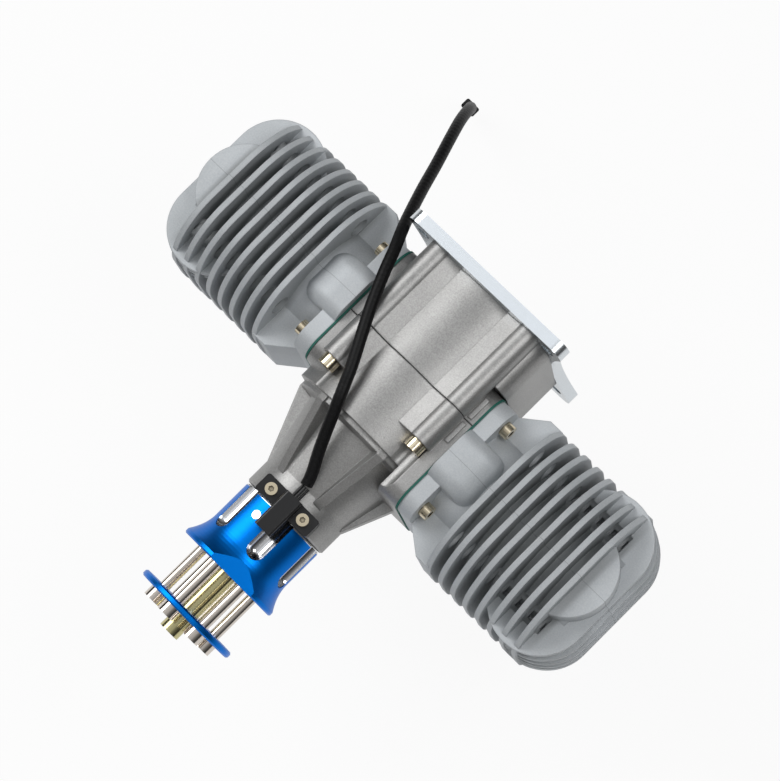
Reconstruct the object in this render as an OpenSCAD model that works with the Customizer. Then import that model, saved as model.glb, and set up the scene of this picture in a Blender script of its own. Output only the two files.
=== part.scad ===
// Horizontally opposed two-cylinder two-stroke engine for a large model aircraft.
// Frame: the crankshaft lies along Y. The firewall face of the mounting plate is at Y = 0 and the
// propeller is toward -Y. The cylinders lie along X. Z is up, and the carburettor hangs below.
// All lengths are in millimetres and all angles in degrees.

/* [Mounting plate] */
// Width of the mounting plate across the engine
plate_w = 90; // [88:0.5:96]
// Height of the mounting plate
plate_h = 90; // [88:0.5:96]
// Thickness of the mounting plate
plate_t = 5.5; // [4:0.5:6.5]
// Radius of the outer corners of the plate
plate_corner = 6; // [3:1:8]
// Depth of the hollow in each side of the plate
plate_hollow = 8; // [4:0.5:8]
// Distance between the firewall bolt holes across the engine
mount_w = 74; // [72:0.5:78]
// Distance between the firewall bolt holes up and down
mount_h = 70; // [68:0.5:76]
// Diameter of the firewall bolt holes
mount_hole_d = 6.4; // [5:0.1:6.6]

/* [Crankcase] */
// Outer radius of the crankcase barrel
case_r = 38.5; // [37.5:0.1:40]
// Radius of the crank chamber inside
chamber_r = 33.5; // [32.8:0.1:34.5]
// Distance from the crank axis to the faces that the cylinders sit on
seat_x = 36.7; // [36:0.1:39]
// Length of the rear half of the crankcase
rear_len = 44.5; // [43:0.5:49]
// Length of the front half of the crankcase, up to its front wall
front_len = 33.5; // [32:0.5:38]
// Thickness of the front wall
front_wall = 3.5; // [2.5:0.5:5]
// Depth of the solid rear end that holds the rear bearing
rear_wall = 18.5; // [17.5:0.5:20]
// Thickness of the gasket between the crankcase halves
split_gasket = 0.4; // [0.2:0.1:0.8]
// Sideways distance of the long crankcase bolts from the crank axis
case_bolt_x = 25.9; // [25:0.1:27]
// Height of the long crankcase bolts above the crank axis
case_bolt_z = 34.4; // [33:0.1:35]
// Radius of the tubes that the long crankcase bolts run through
tube_r = 6; // [5:0.1:6.5]
// Thread diameter of the long crankcase bolts
case_bolt_d = 5; // [4:0.5:5]
// Distance from the front wall back to the seats of the long bolts
tube_setback = 13; // [10:0.5:16]

/* [Nose] */
// Length of the nose in front of the front wall
nose_len = 48.2; // [46:0.2:52]
// Radius of the nose at its front end
nose_r = 22.4; // [22:0.1:24]
// Radius of the nose where it meets the front wall
nose_base_r = 29; // [28:0.5:31]
// Number of ribs around the nose
rib_count = 6; // [6:2:10]
// Thickness of each rib
rib_t = 4.6; // [3:0.2:6]
// Radius that each rib reaches at the front wall
rib_reach = 36.5; // [34:0.5:38]
// Length of each rib along the nose
rib_len = 34; // [26:1:38]

/* [Crankshaft] */
// Distance of each crankpin from the crank axis
crank_r = 19.4; // [18.8:0.1:19.6]
// Distance between the two cylinders along the crankshaft
throw_gap = 19; // [18.5:0.1:20]
// Distance from the firewall face to the axis of the rear cylinder
rear_cyl_y = 45.4; // [45:0.1:46]
// Radius of the crank webs
web_r = 29.5; // [28.5:0.1:30]
// Thickness of the front and rear webs
web_t = 9; // [7:0.5:9.2]
// Space between the webs that each connecting rod runs in
throw_w = 12; // [11:0.1:12.4]
// Running gap between a crankpin or rod and the webs
side_gap = 0.3; // [0.2:0.05:0.5]
// Diameter of the main journals
journal_d = 20; // [18:0.5:20]
// Diameter of the shaft in the nose bearing
nose_journal_d = 17; // [16:0.5:17]
// Length of the taper that carries the propeller hub
taper_len = 25; // [22:0.5:26]
// Diameter of the taper at its small end
taper_small_d = 13; // [12.6:0.2:14]

/* [Connecting rods and pistons] */
// Length of the connecting rods between pin centres
rod_len = 66; // [65:0.1:67]
// Diameter of the crankpins
crankpin_d = 14; // [12:0.5:15]
// Outer radius of the big end
big_end_r = 12; // [11.4:0.1:12]
// Outer radius of the small end
small_end_r = 8.4; // [7.5:0.1:9]
// Diameter of the wrist pins
wrist_pin_d = 11; // [10:0.5:12]
// Cylinder bore
bore_d = 45; // [44:0.2:46]
// Radial clearance of a piston in its bore
piston_clearance = 0.05; // [0.03:0.01:0.09]
// Distance from the wrist pin to the crown of the piston
crown_h = 22; // [21:0.2:23]
// Length of the piston
piston_len = 36; // [34:0.5:36.4]

/* [Cylinders] */
// Width and height of the cylinder base flange
flange_w = 64; // [62:0.5:66]
// Thickness of the cylinder base flange
flange_t = 7.6; // [6:0.2:9]
// Distance between the base bolts, both ways
base_bolt_pitch = 48; // [46:0.2:49]
// Thread diameter of the base bolts
base_bolt_d = 4; // [3:0.5:4]
// Thickness of the gaskets under the cylinders
base_gasket = 0.9; // [0.3:0.1:1.2]
// Width of the fins along the crankshaft
fin_w = 82; // [78:0.5:86]
// Height of the fins
fin_h = 79; // [75:0.5:82]
// Radius of the corners of the fins
fin_corner = 30; // [26:0.5:34]
// Thickness of the fins
fin_t = 2.6; // [1.8:0.1:3.2]
// Distance from one fin to the next
fin_pitch = 7.26; // [7:0.02:7.5]
// Number of fins on each cylinder
fin_count = 8; // [8:1:8]
// Distance from the crank axis to the middle of the first fin
first_fin_x = 63.3; // [62:0.1:65]
// Radius of the barrel between the fins
barrel_r = 28.6; // [27:0.1:29]
// Diameter of the spanner holes through the fins, in line with the base bolts
access_hole_d = 9.5; // [8:0.1:9.8]
// Width of the transfer bulge above and below each cylinder
bulge_w = 27; // [24:0.5:30]
// Height of the transfer bulge above the cylinder axis
bulge_h = 37; // [34:0.5:38]

/* [Cylinder heads] */
// Distance from the crank axis to the outermost point of the head fins
head_reach = 133; // [131:0.5:137]
// Distance that the top and bottom head fins fall short of that
head_taper = 3; // [1:0.25:5]
// Height of the top head fin above the cylinder axis
deck_z = 22; // [21:0.25:24]
// Number of head fins above and below the middle one
head_fin_pairs = 3; // [2:1:3]
// Thickness of the head fins
head_fin_t = 2.4; // [1.6:0.1:3]
// Radius of the outer corners of the head fins
head_corner = 22; // [18:0.5:26]
// Radius of the round plug bosses above and below the head
boss_r = 21.5; // [20:0.25:23]
// Height of the bosses above the cylinder axis
boss_h = 33; // [30:0.25:35]
// Across-flats size of the spark plug's hexagon
plug_hex = 16; // [14:0.5:16]

/* [Exhaust] */
// Diameter of the exhaust ports
exhaust_d = 22; // [18:0.5:24]
// Distance of the exhaust ports from the crank axis
exhaust_x = 72.5; // [71:0.25:75]
// Distance between the two bolt holes of an exhaust flange
exhaust_bolt_pitch = 40; // [38:0.5:42]
// Diameter of the exhaust flange bolt holes
exhaust_bolt_d = 4.2; // [3.3:0.1:5]
// Depth of the round part of the exhaust ports
exhaust_depth = 12; // [8:0.5:14]
// Depth of the exhaust face below the cylinder axis
exhaust_z = 46; // [44:0.5:50]

/* [Propeller hub] */
// Radius of the hub body
hub_r = 21.5; // [21.2:0.1:22.4]
// Radius of the front flare of the hub
flare_r = 25.7; // [25:0.1:27]
// Length of the hub
hub_len = 34; // [32:0.5:36]
// Running gap between the nose and the hub
hub_gap = 0.6; // [0.4:0.1:1.2]
// Number of propeller bolts, and of flutes in the hub
prop_bolt_count = 6; // [6:1:6]
// Diameter of the circle that the propeller bolts lie on
prop_bolt_circle = 30; // [28:0.5:32]
// Thread diameter of the propeller bolts
prop_bolt_d = 5; // [4:0.5:5]
// Radius of the flutes in the hub
flute_r = 4.6; // [3.5:0.1:5]
// Thickness of the propeller that the washer clamps
prop_t = 22.6; // [15:0.1:30]
// Thickness of the propeller washer
washer_t = 3; // [2:0.25:5]
// Diameter of the centre stud that locates the propeller
stud_d = 10; // [9:0.1:10]
// Length of the stud that shows in front of the washer
stud_tip = 9.5; // [6:0.5:16]
// Turn of the hub about the crank axis at rest
hub_phase = -12; // [-30:1:29]

/* [Ignition sensor] */
// Width of the sensor bracket across the nose
sensor_w = 30.4; // [28:0.2:34]
// Length of the sensor bracket along the nose
sensor_l = 9; // [7:0.1:10]
// Distance between the sensor screws
sensor_screw_pitch = 18.8; // [17.6:0.1:21]
// Width of the raised sensor block
sensor_block_w = 9; // [8:0.1:9.4]
// Length of the raised sensor block along the nose
sensor_block_l = 19.4; // [18:0.1:21]
// Sideways offset of the raised sensor block
sensor_block_x = 0.5; // [-0.6:0.1:0.8]
// Turn of the sensor about the crank axis
sensor_turn = 6.7; // [0:0.1:12]
// Diameter of the sleeved sensor lead
lead_d = 5.5; // [4:0.1:6]

/* [Intake] */
// Distance from the firewall face to the middle of the intake port
intake_y = 66.5; // [66:0.1:67]
// Depth of the intake flange below the crank axis
intake_z = 47; // [46.5:0.1:49]
// Thickness of the reed block's flange
reed_flange_t = 3; // [2:0.25:4]
// Height of the intake manifold
manifold_h = 30; // [29:0.5:33]
// Length of the intake manifold along the crankshaft
manifold_l = 29; // [28:0.25:30]
// Diameter of the passage through the manifold
manifold_bore = 22; // [19:0.5:24]
// Thickness of the heat insulator in front of the carburettor
insulator_t = 6; // [4:0.5:8]

/* [Carburettor] */
// Length of the carburettor body along its bore
carb_l = 34; // [33:0.5:35]
// Width of the carburettor body
carb_w = 28.8; // [27:0.2:30]
// Height of the carburettor body between its covers
carb_h = 26; // [24:0.5:28]
// Bore of the carburettor
carb_bore = 19; // [16:0.1:19]
// Diameter of the throttle and choke shafts
carb_shaft_d = 5; // [4:0.1:6]
// Thickness of the covers of the carburettor
carb_cover_t = 5; // [3:0.5:6]
// Turn of the throttle and choke plates from square across the bore
butterfly_tilt = 0; // [0:1:4]

/* [Hidden] */
$fn = 64;

// Clearances and small shared sizes
fit = 0.05;
hole_play = 0.15;
far = 200;
thread_depth = 11;

// The side hollows of the plate are arcs that end 7 mm from its corners
hollow_half = plate_h / 2 - 7;
hollow_r = (pow(hollow_half, 2) + pow(plate_hollow, 2)) / (2 * plate_hollow);

// Stations along the crankshaft, from the firewall forward
plate_y = -plate_t;
split_y = plate_y - rear_len;
wall_y = split_y - front_len;
nose_y = wall_y - nose_len;
hub_y = nose_y - hub_gap;
hub_front_y = hub_y - hub_len;
washer_y = hub_front_y - prop_t;
prop_face_y = washer_y - washer_t;
left_y = -rear_cyl_y;
right_y = left_y - throw_gap;
chamber_rear_y = plate_y - rear_wall;
chamber_front_y = wall_y + front_wall;
rear_web_y = left_y + throw_w / 2;
mid_web_y = left_y - throw_w / 2;
mid_web_t = throw_gap - throw_w;
front_web_y = right_y - throw_w / 2;
tube_y = wall_y + tube_setback;
taper_y = nose_y - hub_gap;
crank_end_y = taper_y - taper_len;

// Bearings: outer diameter, width and where each one starts
main_bearing_d = 47;
main_bearing_t = 14;
nose_bearing_d = 40;
nose_bearing_t = 12;
seal_d = 35;
seal_t = 7;
rear_bearing_y = chamber_rear_y + 2;
front_bearing_y = chamber_front_y - main_bearing_t;
seal_y = front_bearing_y - seal_t;
nose_bearing_y = nose_y + 0.6;

// Stations along a cylinder, from the crank axis outward
flange_x = seat_x + base_gasket;
flange_top_x = flange_x + flange_t;
spigot_x = chamber_r + 0.5;
spigot_d = bore_d + 7;
last_fin_x = first_fin_x + (fin_count - 1) * fin_pitch;
crown_x = crank_r + rod_len + crown_h;
squish_x = crown_x + 0.8;
dome_h = 8;
core_end_x = squish_x + dome_h + 6;
plug_seat_d = plug_hex + 11;
plug_x = squish_x + 5.4;

// Sensor levels
sensor_y = nose_y - 0.7;
sensor_top_z = nose_r + 1.6;
sensor_block_z = nose_r + 7.6;
sensor_rear_y = sensor_y + sensor_block_l;
magnet_y = hub_y - 7.6;

// Intake levels
reed_z = -intake_z - reed_flange_t;
manifold_z = reed_z - manifold_h;
carb_z = reed_z - manifold_h / 2;
manifold_rear_y = -intake_y + manifold_l / 2;
manifold_front_y = -intake_y - manifold_l / 2;
carb_front_y = manifold_rear_y + insulator_t;
carb_rear_y = carb_front_y + carb_l;
throttle_y = carb_front_y + 7.5;
choke_y = carb_rear_y - 7.5;
plate_r = carb_bore / 2 - 0.25;
port_w = 31;
port_l = 23;
ear_t = 6;
carb_bolt_d = 5;
carb_bolt_gap = 0.35;
carb_bolt_pitch = carb_w + 1.5 * carb_bolt_d + 1 + 2 * carb_bolt_gap;
carb_bolt_rise = 9.5;
carb_bolt_grip = 6;

// Route of the sensor lead, from behind the sensor block to the plug
lead_route = [
  [3.3, -116.4, 27], [1.7, -111.1, 28.8], [-3.1, -100.2, 33.4], [-9.1, -83.6, 40.8],
  [-12.7, -74.8, 42.6], [-15.9, -67.6, 43.4], [-23.2, -54, 43.5], [-27.7, -45.6, 43.3],
  [-31.8, -37.2, 42.8], [-36, -28.1, 41.6], [-39.8, -19.6, 39.6], [-43.8, -12.2, 36.6],
  [-47.9, -4.9, 31.6], [-55.4, 9.8, 21], [-61.9, 23.6, 11], [-68.9, 37.9, 1], [-74.5, 48.5, -9],
  [-79.3, 56.5, -22], [-83.9, 61.3, -38], [-88.9, 64.6, -54], [-93.8, 67.6, -70],
  [-98.7, 70.5, -86], [-103.2, 73.2, -101]
];

// Solids along each axis

module bar_y(y0, y1, d) {
  translate([0, y0, 0]) rotate([-90, 0, 0]) cylinder(h = y1 - y0, d = d);
}

module bar_x(x0, x1, d) {
  translate([x0, 0, 0]) rotate([0, 90, 0]) cylinder(h = x1 - x0, d = d);
}

module bar_z(z0, z1, d) {
  translate([0, 0, z0]) cylinder(h = z1 - z0, d = d);
}

// Extrudes an outline drawn in X and Z from y0 to y1
module plate_along_y(y0, y1) {
  translate([0, y1, 0]) rotate([90, 0, 0]) linear_extrude(y1 - y0) children();
}

// Extrudes an outline drawn in Y and Z from x0 to x1
module plate_along_x(x0, x1) {
  translate([x0, 0, 0]) rotate([90, 0, 90]) linear_extrude(x1 - x0) children();
}

// Extrudes an outline drawn in X and Y from z0 to z1
module plate_along_z(z0, z1) {
  translate([0, 0, z0]) linear_extrude(z1 - z0) children();
}

// Revolves an outline of radius and Y about the crank axis
module revolve_y() {
  rotate([-90, 0, 0]) rotate_extrude() children();
}

module block(x0, x1, y0, y1, z0, z1) {
  translate([x0, y0, z0]) cube([x1 - x0, y1 - y0, z1 - z0]);
}

module rounded_rect(w, h, r) {
  square([w, h - 2 * r], center = true);
  square([w - 2 * r, h], center = true);
  for (i = [-1, 1], j = [-1, 1]) translate([i * (w / 2 - r), j * (h / 2 - r)]) circle(r);
}

// The four corners of a rectangle pattern
module corners(w, h) {
  for (i = [-1, 1], j = [-1, 1]) translate([i * w / 2, j * h / 2]) children();
}

// Socket head cap screw: seat at Z = 0, head above, thread below
module socket_screw(d, len) {
  head_d = 1.5 * d + 1;
  difference() {
    union() {
      cylinder(h = d, d = head_d);
      translate([0, 0, -len]) cylinder(h = len + 0.1, d = d);
    }
    translate([0, 0, d * 0.45]) cylinder(h = d, d = 0.92 * d, $fn = 6);
  }
}

// Placement of parts that point away from the engine's axes
module facing_front(x, y, z) {
  translate([x, y, z]) rotate([90, 0, 0]) children();
}

module facing_rear(x, y, z) {
  translate([x, y, z]) rotate([-90, 0, 0]) children();
}

// Cylinder parts are drawn on the +X side; side = -1 puts them on the rear, left throw
module on_side(side) {
  translate([0, side > 0 ? right_y : left_y, 0]) mirror([side > 0 ? 0 : 1, 0, 0]) children();
}

// Mounting plate

module plate_outline() {
  difference() {
    rounded_rect(plate_w, plate_h, plate_corner);
    for (i = [-1, 1]) translate([i * (plate_w / 2 + hollow_r - plate_hollow), 0]) circle(hollow_r);
    translate([0, -plate_h / 2 - 16]) circle(28);
  }
}

module mounting_plate() {
  color("#c9ced1") plate_along_y(plate_y, 0) difference() {
    plate_outline();
    corners(mount_w, mount_h) circle(d = mount_hole_d);
    corners(2 * case_bolt_x, 2 * case_bolt_z) circle(d = case_bolt_d + 2 * fit);
  }
}

// Crankcase

module barrel_profile() {
  intersection() {
    circle(case_r);
    square([2 * seat_x, 2 * case_r + 2], center = true);
  }
}

// The bolt tubes stand on the barrel on short webs
module tube_profile() {
  corners(2 * case_bolt_x, 2 * case_bolt_z) circle(tube_r);
  for (i = [-1, 1], j = [-1, 1])
    rotate(atan2(j * case_bolt_z, i * case_bolt_x)) translate([30, -tube_r + 0.8])
      square([norm([case_bolt_x, case_bolt_z]) - 30, 2 * tube_r - 1.6]);
  for (i = [-1, 1], j = [-1, 1]) scale([i, j]) polygon([
    [case_bolt_x, 26], [case_bolt_x, case_bolt_z], [case_bolt_x - 0.68 * tube_r, case_bolt_z + 0.72 * tube_r],
    [case_bolt_x - 12.4, case_r - 2.6], [case_bolt_x - 12.4, 26]
  ]);
}

module seat_pad(side) {
  on_side(side) plate_along_x(26, seat_x) rounded_rect(flange_w + 1, flange_w, 9);
}

// The square shoulder behind the right seat, a little proud of it, and the two lugs beside the split
module right_shoulder() {
  plate_along_y(right_y + flange_w / 2 + 1, plate_y) intersection() {
    rounded_rect(2 * seat_x + 2.2, flange_w + 2, 10);
    translate([20, -far]) square([far, 2 * far]);
  }
  for (y = [split_y - 12.5, split_y + 1.5])
    block(seat_x - 4.2, seat_x - 2, y, y + 11, flange_w / 2 - 2, flange_w / 2 + 1.4);
}

module nose_body() {
  revolve_y() polygon([
    [0, wall_y + 1], [rib_reach - 1, wall_y + 1], [rib_reach - 1, wall_y - 2.4],
    [nose_base_r, wall_y - 3.4], [nose_r, wall_y - rib_len],
    [nose_r, nose_y + 0.8], [nose_r - 0.8, nose_y], [0, nose_y]
  ]);
}

module nose_ribs() {
  for (i = [0 : rib_count - 1]) rotate([0, 30 + i * 360 / rib_count, 0])
    translate([-rib_t / 2, 0, 0]) rotate([90, 0, 90]) linear_extrude(rib_t) polygon([
      [wall_y + 1, nose_r - 4], [wall_y + 1, rib_reach], [wall_y - 3, rib_reach],
      [wall_y - rib_len - 2, nose_r + 0.2], [wall_y - rib_len - 2, nose_r - 4]
    ]);
}

module intake_neck() {
  translate([0, -intake_y, 0]) {
    plate_along_z(-intake_z, -intake_z + 7) rounded_rect(46, manifold_l + 2, 4);
    block(-18, 18, -manifold_l / 2, manifold_l / 2, -intake_z + 1, -26);
  }
}

module case_outer() {
  plate_along_y(wall_y, plate_y) barrel_profile();
  plate_along_y(tube_y, plate_y) tube_profile();
  seat_pad(-1);
  seat_pad(1);
  right_shoulder();
  nose_body();
  nose_ribs();
  intake_neck();
}

module case_cuts() {
  // the grooves in front of the tubes make room for the screw heads and their key
  for (i = [-1, 1], j = [-1, 1]) translate([i * case_bolt_x, 0, j * case_bolt_z]) {
    bar_y(tube_y - 1, plate_y + 1, case_bolt_d + 2 * hole_play);
    bar_y(wall_y - 20, tube_y, 1.5 * case_bolt_d + 2.6);
  }
  bar_y(chamber_front_y, chamber_rear_y, 2 * chamber_r);
  bar_y(chamber_rear_y - 1, rear_bearing_y + main_bearing_t, main_bearing_d + 2 * fit);
  bar_y(rear_bearing_y, plate_y - 1.5, 30);
  bar_y(front_bearing_y, chamber_front_y + 1, main_bearing_d + 2 * fit);
  bar_y(seal_y, front_bearing_y + 1, seal_d + 2 * fit);
  bar_y(nose_y - 1, seal_y + 1, journal_d + 6);
  bar_y(nose_y - 1, nose_bearing_y + nose_bearing_t, nose_bearing_d + 2 * fit);
  intersection() {
    for (side = [-1, 1]) on_side(side) bar_x(10, spigot_x, bore_d + 0.8);
    block(-far, far, chamber_front_y, chamber_rear_y, -far, far);
  }
  for (side = [-1, 1]) on_side(side) {
    bar_x(spigot_x - 0.6, seat_x + 1, spigot_d + 2 * hole_play);
    bar_x(spigot_x - 2, spigot_x, bore_d + 0.8);
    translate([seat_x - thread_depth, 0, 0]) rotate([90, 0, 90])
      linear_extrude(thread_depth + 1) corners(base_bolt_pitch, base_bolt_pitch)
        circle(d = base_bolt_d + 2 * fit);
  }
  block(-port_w / 2, port_w / 2, -intake_y - port_l / 2, -intake_y + port_l / 2,
        -intake_z - 1, -22);
  for (p = manifold_screw_spots) translate([p[0], p[1], 0])
    bar_z(-intake_z - 1, -intake_z + 6, 4 + 2 * fit);
  rotate([0, sensor_turn, 0]) for (i = [-1, 1])
    translate([i * sensor_screw_pitch / 2, sensor_y + sensor_l / 2, 0])
      bar_z(sensor_top_z - 5.7, far, 3 + 2 * fit);
}

manifold_screw_spots = [for (i = [-1, 1], y = [-10, 4.5]) [i * 19.5, y - intake_y]];

module crankcase_rear() {
  color("#b4b1ab") intersection() {
    difference() {
      case_outer();
      case_cuts();
    }
    block(-far, far, split_y + split_gasket / 2, far, -far, far);
  }
}

module crankcase_front() {
  color("#b4b1ab") intersection() {
    difference() {
      case_outer();
      case_cuts();
    }
    block(-far, far, -far, split_y - split_gasket / 2, -far, far);
  }
}

module crankcase_gasket() {
  color("#1b1b1b") intersection() {
    difference() {
      case_outer();
      case_cuts();
    }
    block(-far, far, split_y - split_gasket / 2, split_y + split_gasket / 2, -far, far);
  }
}

module crankcase_bolts() {
  color("#cfc3a6") for (i = [-1, 1], j = [-1, 1])
    facing_front(i * case_bolt_x, tube_y, j * case_bolt_z) socket_screw(case_bolt_d, -tube_y - 1);
}

// Bearings and seal

module ball_bearing(y0, d_out, d_in, width) {
  mid_r = (d_out + d_in) / 4;
  ball_r = (d_out - d_in) / 4 * 0.62;
  race = (d_out - d_in) / 4 * 0.42;
  balls = floor(mid_r * 3.14 / (ball_r * 1.25));
  difference() {
    bar_y(y0, y0 + width, d_out);
    bar_y(y0 - 1, y0 + width + 1, d_out - 2 * race);
    translate([0, y0 + width / 2, 0]) rotate([-90, 0, 0]) rotate_extrude()
      translate([mid_r, 0]) circle(ball_r + fit);
  }
  difference() {
    bar_y(y0, y0 + width, d_in + 2 * race);
    bar_y(y0 - 1, y0 + width + 1, d_in);
    translate([0, y0 + width / 2, 0]) rotate([-90, 0, 0]) rotate_extrude()
      translate([mid_r, 0]) circle(ball_r + fit);
  }
  for (i = [0 : balls - 1]) rotate([0, i * 360 / balls, 0])
    translate([mid_r, y0 + width / 2, 0]) sphere(ball_r, $fn = 24);
}

module rear_bearing() {
  color("#8f9498") ball_bearing(rear_bearing_y, main_bearing_d, journal_d + 2 * fit, main_bearing_t);
}

module front_bearing() {
  color("#8f9498") ball_bearing(front_bearing_y, main_bearing_d, journal_d + 2 * fit, main_bearing_t);
}

module nose_bearing() {
  color("#8f9498")
    ball_bearing(nose_bearing_y, nose_bearing_d, nose_journal_d + 2 * fit, nose_bearing_t);
}

module front_oil_seal() {
  color("#23211f") difference() {
    bar_y(seal_y, seal_y + seal_t, seal_d);
    bar_y(seal_y - 1, seal_y + seal_t + 1, journal_d + 2 * fit);
    bar_y(seal_y - 1, seal_y + seal_t - 2.5, seal_d - 7);
  }
}

// Crankshaft: three pressed pieces, each throw running between two webs

module web(y0, t) {
  revolve_y() polygon([
    [0, y0], [web_r - 0.8, y0], [web_r, y0 + 0.8], [web_r, y0 + t - 0.8],
    [web_r - 0.8, y0 + t], [0, y0 + t]
  ]);
}

module crankshaft_front() {
  color("#9a9da0") difference() {
    union() {
      web(front_web_y - web_t, web_t);
      bar_y(chamber_front_y + 0.3, front_web_y - web_t + 1, journal_d + 6);
      bar_y(seal_y - 2, front_web_y, journal_d);
      bar_y(taper_y, seal_y, nose_journal_d);
      revolve_y() polygon([
        [0, taper_y + 1], [nose_journal_d / 2, taper_y + 1], [nose_journal_d / 2, taper_y],
        [taper_small_d / 2, crank_end_y], [0, crank_end_y]
      ]);
    }
    bar_y(crank_end_y - 1, crank_end_y + 18, stud_d + 2 * fit);
    key_slot(fit);
  }
}

module crank_middle_web() {
  color("#9a9da0") web(mid_web_y - mid_web_t, mid_web_t);
}

module crankshaft_rear() {
  color("#9a9da0") {
    web(rear_web_y, web_t);
    bar_y(rear_web_y + web_t - 1, chamber_rear_y + 1.6, journal_d + 6);
    bar_y(rear_web_y + web_t - 1, rear_bearing_y + main_bearing_t - 1, journal_d);
  }
}

module key_slot(grow) {
  translate([0, taper_y - 6, 0]) rotate([0, hub_phase + 60, 0])
    block(-1.5 - grow, 1.5 + grow, -10 - grow, grow, 6.2 - grow, 9.4 + grow);
}

module hub_key() {
  color("#6f7478") key_slot(0);
}

// Parts of one throw, drawn with the piston at the outer end of its stroke

module crankpin(side) {
  color("#a7abae") on_side(side) translate([crank_r, 0, 0])
    bar_y(-throw_w / 2 + side_gap, throw_w / 2 - side_gap, crankpin_d);
}

module con_rod(side) {
  pin_x = crank_r + rod_len;
  half = throw_w / 2 - side_gap;
  color("#a3a19c") on_side(side) difference() {
    union() {
      translate([crank_r, 0, 0]) bar_y(-half, half, 2 * big_end_r);
      translate([pin_x, 0, 0]) bar_y(-half, half, 2 * small_end_r);
      plate_along_y(-3.5, 3.5) polygon([
        [crank_r, -8.5], [pin_x, -5.5], [pin_x, 5.5], [crank_r, 8.5]
      ]);
    }
    translate([crank_r, 0, 0]) bar_y(-far, far, crankpin_d + 5);
    translate([pin_x, 0, 0]) bar_y(-far, far, wrist_pin_d + 3);
    for (s = [-1, 1]) plate_along_y(s > 0 ? 2 : -4, s > 0 ? 4 : -2) polygon([
      [crank_r + big_end_r + 2, -4.8], [pin_x - small_end_r - 2, -3],
      [pin_x - small_end_r - 2, 3], [crank_r + big_end_r + 2, 4.8]
    ]);
  }
}

module rod_bearings(side) {
  half = throw_w / 2 - side_gap - 0.4;
  ends = [[crank_r, crankpin_d, 5], [crank_r + rod_len, wrist_pin_d, 3]];
  color("#c4a24e") on_side(side) for (e = ends)
    translate([e[0], 0, 0]) difference() {
      bar_y(-half, half, e[1] + e[2] - 2 * fit);
      bar_y(-far, far, e[1] + 2 * fit);
    }
}

module piston(side) {
  r = bore_d / 2 - piston_clearance;
  wall = 3;
  boss_gap = throw_w / 2 + 0.8;
  pin_x = crank_r + rod_len;
  color("#b9babb") on_side(side) difference() {
    bar_x(crown_x - piston_len, crown_x, 2 * r);
    difference() {
      bar_x(crown_x - piston_len - 1, crown_x - 5, 2 * (r - wall));
      for (s = [-1, 1]) translate([pin_x, s * (boss_gap + 10), 0]) difference() {
        bar_y(-10, 10, wrist_pin_d + 7);
        bar_y(-far, far, wrist_pin_d + 2 * fit);
      }
    }
    translate([pin_x, 0, 0]) bar_y(-far, far, wrist_pin_d + 2 * fit);
    for (g = [4, 8.5]) ring_groove(crown_x - g, r, 1.6, 2.4);
  }
}

module ring_groove(x0, r, t, depth) {
  difference() {
    bar_x(x0 - t, x0, 2 * r + 2);
    bar_x(x0 - t - 1, x0 + 1, 2 * (r - depth));
  }
}

module piston_rings(side) {
  color("#5d6165") on_side(side) for (g = [4, 8.5]) difference() {
    bar_x(crown_x - g - 1.55, crown_x - g - fit, bore_d - 2 * 0.03);
    bar_x(crown_x - g - 3, crown_x - g + 1, bore_d - 2 * piston_clearance - 4.6);
    block(crown_x - g - 3, crown_x - g + 1, -0.25, 0.25, 0, far);
  }
}

module wrist_pin(side) {
  half = bore_d / 2 - 3.6;
  color("#b3b6b8") on_side(side) translate([crank_r + rod_len, 0, 0]) difference() {
    bar_y(-half, half, wrist_pin_d);
    bar_y(-far, far, wrist_pin_d - 4.5);
  }
}

// Cylinders

module fin_outline(inset = 0) {
  rounded_rect(fin_w - 2 * inset, fin_h - 2 * inset, fin_corner - inset);
}

function reach_at(z) = head_reach - head_taper * pow(z / deck_z, 2);

module head_fin(z) {
  reach = reach_at(z);
  half = fin_w / 2 - 0.6;
  plate_along_z(z - head_fin_t / 2, z + head_fin_t / 2) {
    translate([squish_x - 2, -half]) square([reach - head_corner - squish_x + 2, 2 * half]);
    translate([squish_x - 2, -half + head_corner])
      square([reach - squish_x + 2, 2 * (half - head_corner)]);
    for (j = [-1, 1]) translate([reach - head_corner, j * (half - head_corner)])
      circle(head_corner);
  }
}

// Transfer bulge, which runs flat from the flange and then rolls down towards the fins
module bulge() {
  roll = 15;
  edge = 7.2;
  flat = bulge_w / 2 - edge;
  roll_x = first_fin_x - 2.6 - roll;
  plate_along_x(flange_x, roll_x) rounded_rect(bulge_w, 2 * bulge_h, edge);
  intersection() {
    for (k = [-1, 1]) translate([roll_x, 0, k * (bulge_h - roll)]) revolve_y() {
      translate([0, -bulge_w / 2]) square([roll - edge, bulge_w]);
      translate([0, -flat]) square([roll, 2 * flat]);
      for (j = [-1, 1]) translate([roll - edge, j * flat]) circle(edge);
    }
    block(roll_x - 1, far, -far, far, -far, far);
  }
}

// Side walls that widen from the base flange to the first fin
module skirt() {
  narrow = flange_w / 2;
  wide = fin_w / 2 - 0.6;
  shoulder = flange_top_x + 11;
  plate_along_z(-18, 18) polygon([
    [flange_x + 1, -narrow], [flange_top_x, -narrow], [shoulder, -wide],
    [first_fin_x, -wide], [first_fin_x, wide], [shoulder, wide],
    [flange_top_x, narrow], [flange_x + 1, narrow]
  ]);
}

module exhaust_block() {
  plate_along_z(-exhaust_z, -22) translate([exhaust_x, 0])
    rounded_rect(exhaust_d + 8, exhaust_bolt_pitch + 12, 7);
}

module plug_boss(z0, z1) {
  intersection() {
    translate([squish_x - 1, 0, 0]) bar_z(z0, z1, 2 * boss_r);
    block(last_fin_x, far, -far, far, -far, far);
  }
}

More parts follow.
